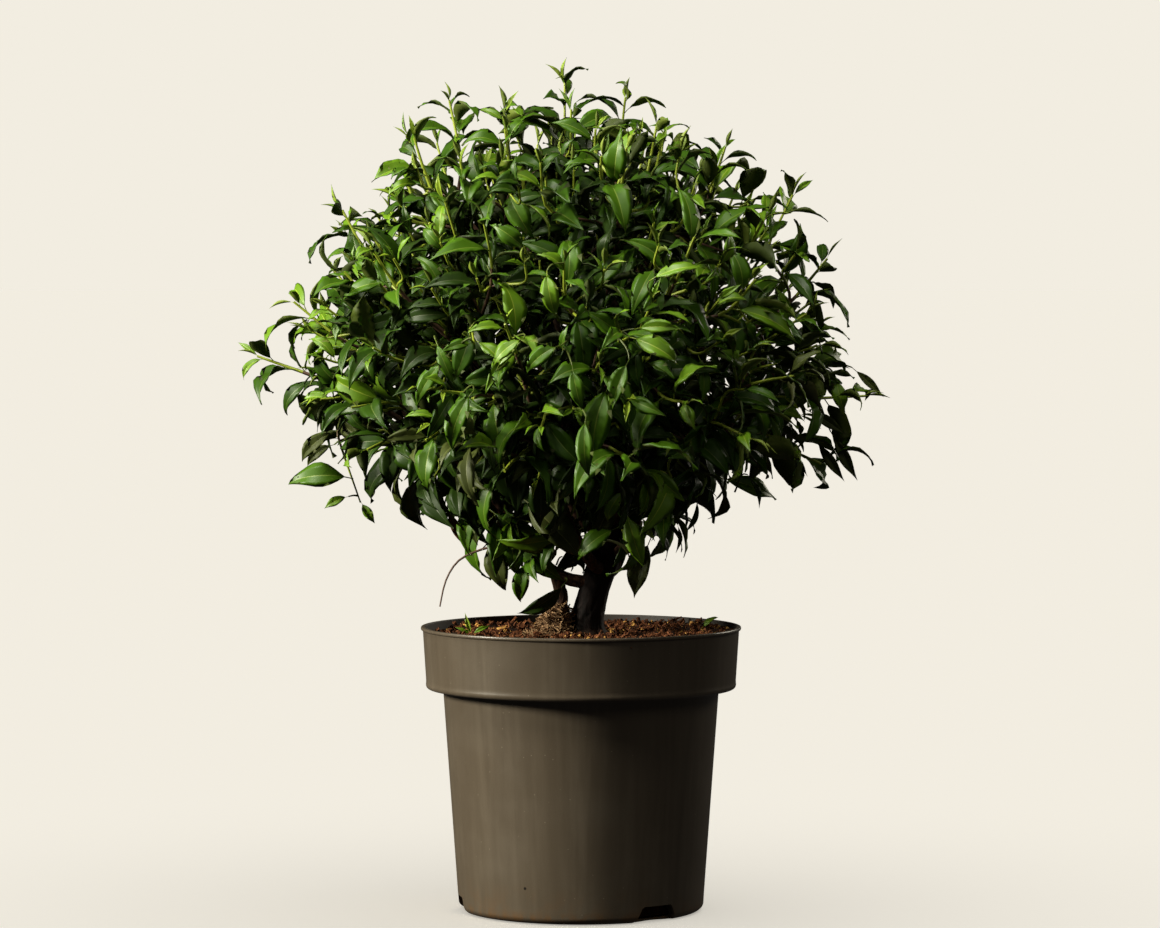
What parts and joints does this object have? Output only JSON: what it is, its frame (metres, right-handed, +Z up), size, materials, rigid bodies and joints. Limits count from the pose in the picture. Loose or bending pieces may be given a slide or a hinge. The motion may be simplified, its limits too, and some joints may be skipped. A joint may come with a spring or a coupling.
{
  "type": "potted portugal laurel",
  "caption": "Evergreen garden shrub with a round leafy crown on a short leaning trunk, in a round plastic grower's pot filled with bark potting mix.",
  "frame": {"origin": "centre of the pot's flat underside, on the surface that it stands on", "axes": "+Z up along the pot's axis; -Y is the front that the picture shows; +X to the viewer's right"},
  "size_m": [0.6305, 0.601, 0.8458],
  "materials": {
    "pot_plastic": "satin dark grey-brown moulded plastic, a little dusty",
    "potting_mix": "coarse reddish-brown bark fibres and crumbs, rough",
    "bark": "dark brown bark, finely cracked, rough",
    "foliage": "glossy dark green leaves, paler beneath, bright yellow-green at the shoot tips"
  },
  "bodies": {
    "root": {"pot": "pot_plastic", "potting_mix": "potting_mix", "trunk": "bark", "second_stem": "bark", "bough_skirt_1": "bark", "bough_skirt_2": "bark", "bough_skirt_3": "bark", "bough_skirt_4": "bark", "bough_skirt_5": "bark", "bough_belly_1": "bark", "bough_belly_2": "bark", "bough_belly_3": "bark", "bough_belly_4": "bark", "bough_belly_5": "bark", "bough_shoulder_1": "bark", "bough_shoulder_2": "bark", "bough_shoulder_3": "bark", "bough_shoulder_4": "bark", "foliage_skirt_1": "foliage", "foliage_skirt_2": "foliage", "foliage_skirt_3": "foliage", "foliage_skirt_4": "foliage", "foliage_skirt_5": "foliage", "foliage_belly_1": "foliage", "foliage_belly_2": "foliage", "foliage_belly_3": "foliage", "foliage_belly_4": "foliage", "foliage_belly_5": "foliage", "foliage_shoulder_1": "foliage", "foliage_shoulder_2": "foliage", "foliage_shoulder_3": "foliage", "foliage_shoulder_4": "foliage", "foliage_top": "foliage"}
  },
  "joints": []
}
